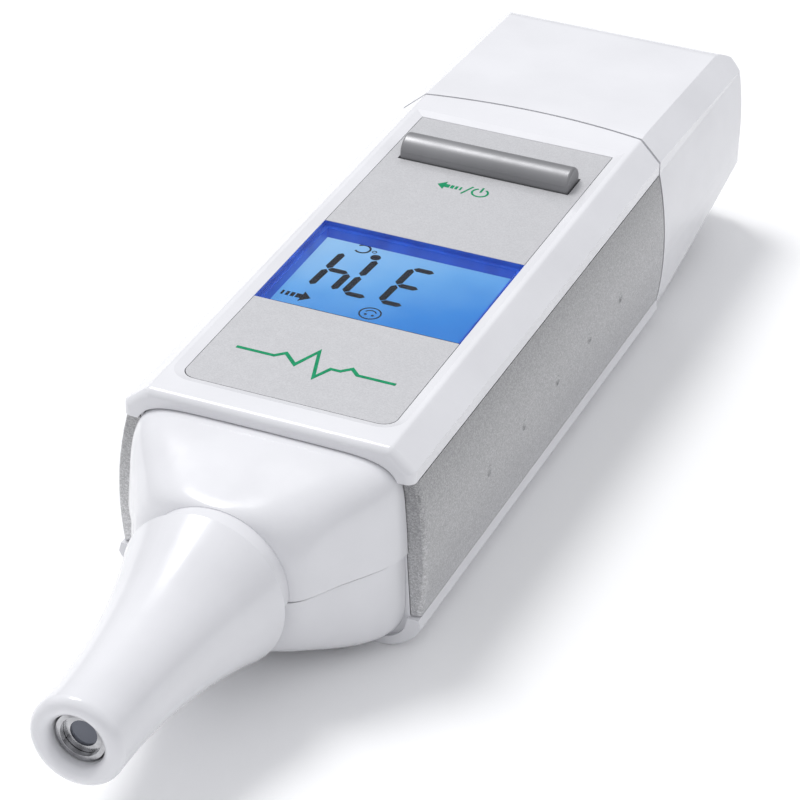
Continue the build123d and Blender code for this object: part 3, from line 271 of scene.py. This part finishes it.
MATERIALS = {
    "casing_white": casing_white,
    "side_silver": side_silver,
    "panel_grey": panel_grey,
    "button_grey": button_grey,
    "window_clear": window_clear,
    "display_glass": display_glass,
    "board_green": main_board_green,
    "cell_jacket": cell_jacket,
    "core_white": lambda: moulded("core_white", "E6E6E4", "EFEFED", (0.35, 0.45)),
    "sleeve_grey": lambda: moulded("sleeve_grey", "77797C", "84868A", (0.42, 0.55)),
    "seal_rubber": lambda: moulded("seal_rubber", "151516", "1D1D1F", (0.5, 0.65)),
    "zebra_rubber": lambda: moulded("zebra_rubber", "4A3A44", "5C4A55", (0.5, 0.65)),
    "chip_black": lambda: moulded("chip_black", "17181A", "202124", (0.4, 0.5), grain=0.15 * MM),
    "plunger_black": lambda: moulded("plunger_black", "101012", "19191C", (0.35, 0.45)),
    "component_tan": lambda: moulded("component_tan", "8A6E4C", "A08462", (0.4, 0.5)),
    "led_white": lambda: moulded("led_white", "EAF0FA", "F6F9FF", (0.3, 0.4)),
    "wire_insulation": lambda: moulded("wire_insulation", "B42A24", "C63A32", (0.35, 0.45)),
    "guide_acrylic": lambda: moulded("guide_acrylic", "DDE8F4", "EEF5FC", (0.08, 0.14),
                                     Transmission_Weight=0.6, IOR=1.49),
    "silicon": lambda: moulded("silicon", "26262E", "3C3C48", (0.15, 0.25)),
    "sensor_filter": lambda: moulded("sensor_filter", "5A5D66", "6C6F78", (0.06, 0.12), Metallic=0.5),
    "sensor_nickel": lambda: metal("sensor_nickel", "8E8E90", "C6C6C8", (0.12, 0.24)),
    "contact_steel": lambda: metal("contact_steel", "A4A6A8", "C8CACC", (0.2, 0.34)),
    "crystal_steel": lambda: metal("crystal_steel", "B4B6B8", "D2D4D6", (0.16, 0.26)),
    "screw_steel": lambda: metal("screw_steel", "8E9092", "B4B6B8", (0.25, 0.4)),
}


def dress_nodes():
    """Every CAD node takes the material of its own slot."""
    made = {name: make().material for name, make in MATERIALS.items()}
    for node in nodes.values():
        for slot in node.material_slots:
            slot.material = made[slot.material.name.split(".")[0]]


# ---------------------------------------------------------------- printed and switched marks
mark_thickness = 0.02 * MM
weld_distance = 0.0005 * MM


def sideways(direction):
    """direction turned a quarter turn to its left."""
    return Vector((-direction.y, direction.x))


def ribbon(points, width, closed=False):
    """Quads of a flat line of that width along points, mitred at its corners."""
    sharpest = 0.4           # keeps the mitre of a sharp corner from running out
    count = len(points)
    sides = []
    for i, point in enumerate(points):
        before = points[i - 1] if (closed or i > 0) else None
        after = points[(i + 1) % count] if (closed or i < count - 1) else None
        arriving = (point - before).normalized() if before is not None else None
        leaving = (after - point).normalized() if after is not None else None
        along = ((arriving or leaving) + (leaving or arriving)).normalized()
        across = sideways(along)
        mitre = across * width / 2 / max(sharpest, across.dot(sideways(leaving or arriving)))
        sides.append((point + mitre, point - mitre))
    pairs = list(zip(sides, sides[1:] + sides[:1])) if closed else list(zip(sides, sides[1:]))
    return [[a[0], a[1], b[1], b[0]] for a, b in pairs]


def arc(centre, radius, start, end, steps=24):
    """Points along an arc, its angles in degrees."""
    turns = (radians(start + (end - start) * i / steps) for i in range(steps + 1))
    return [centre + radius * Vector((cos(turn), sin(turn))) for turn in turns]


def disc(centre, radius, steps=24):
    """Points round a circle, without the first one again."""
    return arc(centre, radius, 0, 360 - 360 / steps, steps - 1)


def add_piece(name, build, material):
    """A bmesh as a piece that rides on the casing."""
    bmesh.ops.recalc_face_normals(build, faces=build.faces)
    mesh = bpy.data.meshes.new(name)
    build.to_mesh(mesh)
    build.free()
    piece = bpy.data.objects.new(name, mesh)
    bpy.context.scene.collection.objects.link(piece)
    piece.data.materials.append(material)
    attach(piece, "casing")


def marks(name, polygons, bottom_z, material):
    """One thin piece made of flat polygons that stand on bottom_z."""
    build = bmesh.new()
    for polygon in polygons:
        lower = [build.verts.new((p.x, p.y, bottom_z)) for p in polygon]
        upper = [build.verts.new((p.x, p.y, bottom_z + mark_thickness)) for p in polygon]
        build.faces.new(upper)
        build.faces.new(lower[::-1])
        for i in range(len(polygon)):
            j = (i + 1) % len(polygon)
            build.faces.new((lower[i], lower[j], upper[j], upper[i]))
    bmesh.ops.remove_doubles(build, verts=build.verts, dist=weld_distance)
    add_piece(name, build, material)


# Segments of a seven-segment figure: the ends of each bar, on a grid 1 wide and 2 high.
BARS = {
    "a": ((0, 2), (1, 2)), "b": ((1, 2), (1, 1)), "c": ((1, 1), (1, 0)), "d": ((0, 0), (1, 0)),
    "e": ((0, 1), (0, 0)), "f": ((0, 2), (0, 1)), "g": ((0, 1), (1, 1)),
}
FIGURES = {"3": "abcdg", "7": "abc", "4": "bcfg"}
figure_width = 2.45 * MM
figure_height = 7.4 * MM
bar_width = 0.78 * MM
bar_gap = 0.1 * MM
figure_slant = 0.06          # how far the top of a figure leans, as a share of its height


def bar(start, end):
    """A segment bar with pointed ends."""
    along = (end - start).normalized()
    across = sideways(along) * bar_width / 2
    tip = along * bar_gap
    shoulder = along * (bar_gap + bar_width / 2)
    return [start + tip, start + shoulder + across, end - shoulder + across,
            end - tip, end - shoulder - across, start + shoulder - across]


def figure(digit, corner):
    """The bars of a digit whose top is towards the probe; corner is its foot on the +X side."""
    bars = []
    for name in FIGURES[digit]:
        ends = [Vector((x, y / 2)) for x, y in BARS[name]]
        placed = [corner - Vector((p.x * figure_width + p.y * figure_height * figure_slant,
                                   p.y * figure_height)) for p in ends]
        bars.append(bar(*placed))
    return bars


def display_marks(material):
    """Dark segments on the display glass: 37.4 with a degree sign and C, a face and an arrow."""
    glass_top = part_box("lcd_glass")[1].z
    foot_y = 5.7 * MM
    picture = []
    for digit, left in (("3", 2.5), ("7", -1.5), ("4", -5.2)):
        picture += figure(digit, Vector((left * MM, foot_y)))
    picture.append(disc(Vector((-4.3, 6.2)) * MM, 0.55 * MM))
    picture += ribbon(arc(Vector((-6.2, 7.3)) * MM, 0.8 * MM, -140, 140), 0.22 * MM)
    picture += ribbon(disc(Vector((-4.85, 7.2)) * MM, 0.22 * MM, 12), 0.1 * MM, closed=True)
    face = Vector((-0.3, -4.4)) * MM
    picture += ribbon(disc(face, 1.1 * MM, 32), 0.16 * MM, closed=True)
    picture += ribbon(arc(face, 0.6 * MM, 20, 160, 12), 0.14 * MM)
    for side in (-1, 1):
        picture.append(disc(face + Vector((side * 0.38, -0.3)) * MM, 0.16 * MM, 10))
    picture += pointer(Vector((-6.9, -4.2)) * MM, Vector((1, 0)), 2.0 * MM)
    marks("display_figures", picture, glass_top, material)


def pointer(tip, along, size):
    """An arrow with streaks behind it: tip, direction, and the width of its head."""
    shaft_half, head_half = 0.2, 0.5
    head_end, shaft_end = 0.5, 0.8
    first_streak, streak_pitch = 0.98, 0.28

    def spot(behind, across):
        """A point so many head widths behind the tip and to the side of it."""
        return tip - along * size * behind + sideways(along) * size * across

    shapes = [[tip, spot(head_end, head_half), spot(head_end, shaft_half), spot(shaft_end, shaft_half),
               spot(shaft_end, -shaft_half), spot(head_end, -shaft_half), spot(head_end, -head_half)]]
    for number, half in enumerate((0.102, 0.084, 0.06)):
        middle = first_streak + streak_pitch * number
        shapes.append([spot(middle - half, shaft_half), spot(middle + half, shaft_half),
                       spot(middle + half, -shaft_half), spot(middle - half, -shaft_half)])
    return shapes


def recess_shade_sheet(material):
    """Painted shade of the display's recess as a thin dark blue sheet: round the window's edge, over its
    ledge and down the opening.
    """
    low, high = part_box("display_window")
    glass_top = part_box("lcd_glass")[1].z
    centre = (low + high) / 2
    ledge = 0.42 * MM        # from the window's edge in to the wall of the opening
    liner = 0.08 * MM        # thickness on that wall
    rim_low, rim_high = 0.02 * MM, 0.06 * MM
    rim_drop = 0.04 * MM
    seat = 0.01 * MM
    # Each corner of the section: how far outside the window's edge it is, and its height.
    section = [(rim_high, high.z - rim_drop), (rim_high, low.z - seat), (-ledge, low.z - seat),
               (-ledge, glass_top + seat), (-ledge - liner, glass_top + seat),
               (-ledge - liner, low.z + seat), (rim_low, low.z + seat), (rim_low, high.z - rim_drop)]
    build = bmesh.new()
    rings = []
    for out, z in section:
        half_x, half_y = high.x - centre.x + out, high.y - centre.y + out
        rings.append([build.verts.new((centre.x + i * half_x, centre.y + j * half_y, z))
                      for i, j in ((-1, -1), (1, -1), (1, 1), (-1, 1))])
    for a, b in zip(rings, rings[1:] + rings[:1]):
        for i in range(4):
            j = (i + 1) % 4
            build.faces.new((a[i], a[j], b[j], b[i]))
    add_piece("recess_shade_sheet", build, material)


def plate_prints(material):
    """Green marks: a power sign in front of the button and a plain pulse line at the probe end."""
    plate_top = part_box("face_plate_rear")[1].z
    line_width = 0.22 * MM
    sign_place = Vector((0, 20.9)) * MM
    sign = pointer(sign_place + Vector((-3.6, 0)) * MM, Vector((-1, 0)), 1.7 * MM)
    slash = [sign_place + Vector(end) * MM for end in ((-0.6, -0.95), (0.1, 0.95))]
    sign += ribbon(slash, 0.2 * MM)
    centre = sign_place + Vector((1.2, 0)) * MM
    sign += ribbon(arc(centre, 0.85 * MM, 120, 420), line_width)
    sign += ribbon([centre + Vector((0, y)) * MM for y in (0.1, 1.15)], line_width)
    marks("power_print", sign, plate_top, material)

    low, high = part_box("face_plate_front")
    pulse_place = Vector((0, (low.y + high.y) / 2 - 1.3 * MM))
    steps = [(-8.4, 0), (-4.4, 0), (-3.5, 0.9), (-2.6, 0), (-1.9, -0.7), (-0.7, 2.5), (0.7, -2.1),
             (1.6, 0), (2.6, 0), (3.5, 0.9), (4.4, 0), (8.4, 0)]
    line = [pulse_place + Vector(step) * MM for step in steps]
    marks("pulse_print", ribbon(line, 0.42 * MM), high.z, material)


# ---------------------------------------------------------------- floor, lights and camera
def studio_floor():
    """A plain white sheet under the casing."""
    mesh = bpy.data.meshes.new("studio_floor")
    reach = 3000 * MM
    mesh.from_pydata([(-reach, -reach, 0), (reach, -reach, 0), (reach, reach, 0), (-reach, reach, 0)],
                     [], [(0, 1, 2, 3)])
    floor = bpy.data.objects.new("studio_floor", mesh)
    bpy.context.scene.collection.objects.link(floor)
    finish = Finish("studio_floor", Roughness=0.6, Specular_IOR_Level=0.2)
    finish.colour(finish.noise(300 * MM), (0.3, "FBFBFB"), (0.7, "FDFDFD"))
    floor.data.materials.append(finish.material)


def soft_light(name, place, size, power):
    """A round area light, aimed at the origin; place and size in metres, power in watts."""
    light = bpy.data.lights.new(name, "AREA")
    light.shape = "DISK"
    light.size = size
    light.energy = power
    lamp = bpy.data.objects.new(name, light)
    bpy.context.scene.collection.objects.link(lamp)
    lamp.location = place
    lamp.rotation_mode = "QUATERNION"
    lamp.rotation_quaternion = (-Vector(place)).to_track_quat("-Z", "Y")


def studio_lights():
    """A broad key overhead on the left, and a sky that is darker towards the horizon."""
    soft_light("key_light", (-0.45, 0.22, 1.0), 0.4, 6.0)
    world = bpy.data.worlds.new("studio")
    bpy.context.scene.world = world
    world.use_nodes = True
    tree = world.node_tree
    background = tree.nodes["Background"]
    background.inputs["Strength"].default_value = 0.78
    place = tree.nodes.new("ShaderNodeTexCoord").outputs["Generated"]
    split = tree.nodes.new("ShaderNodeSeparateXYZ")
    ramp = tree.nodes.new("ShaderNodeValToRGB")
    tree.links.new(place, split.inputs["Vector"])
    tree.links.new(split.outputs["Z"], ramp.inputs["Fac"])
    tree.links.new(ramp.outputs["Color"], background.inputs["Color"])
    for element, (position, colour) in zip(ramp.color_ramp.elements, ((0.08, "A2A3A6"), (0.5, "FAFBFF"))):
        element.position = position
        element.color = linear(colour)


def studio_camera():
    """A long lens in front of the probe, to its +X side, looking down at the display."""
    target = Vector((3.0, -4.0, 11.0)) * MM
    distance = 350.5 * MM
    azimuth = radians(22.36)
    elevation = radians(31.71)
    roll = radians(1.49)
    back = Vector((sin(azimuth) * cos(elevation), -cos(azimuth) * cos(elevation), sin(elevation)))
    camera = bpy.data.cameras.new("camera")
    camera.lens = 156.6
    camera.sensor_width = 36
    camera.clip_start = 10 * MM
    holder = bpy.data.objects.new("camera", camera)
    bpy.context.scene.collection.objects.link(holder)
    holder.location = target + back * distance
    holder.rotation_mode = "QUATERNION"
    holder.rotation_quaternion = (-back).to_track_quat("-Z", "Y") @ Quaternion((0, 0, 1), roll)
    bpy.context.scene.camera = holder


dress_nodes()
display_marks(ink("segment_dark", "070A14", "0C1120"))
recess_shade_sheet(recess_shade_blue())
plate_prints(ink("print_green", "14855A", "1E9A6A"))
studio_floor()
studio_lights()
studio_camera()
bpy.context.scene.view_settings.view_transform = "Standard"
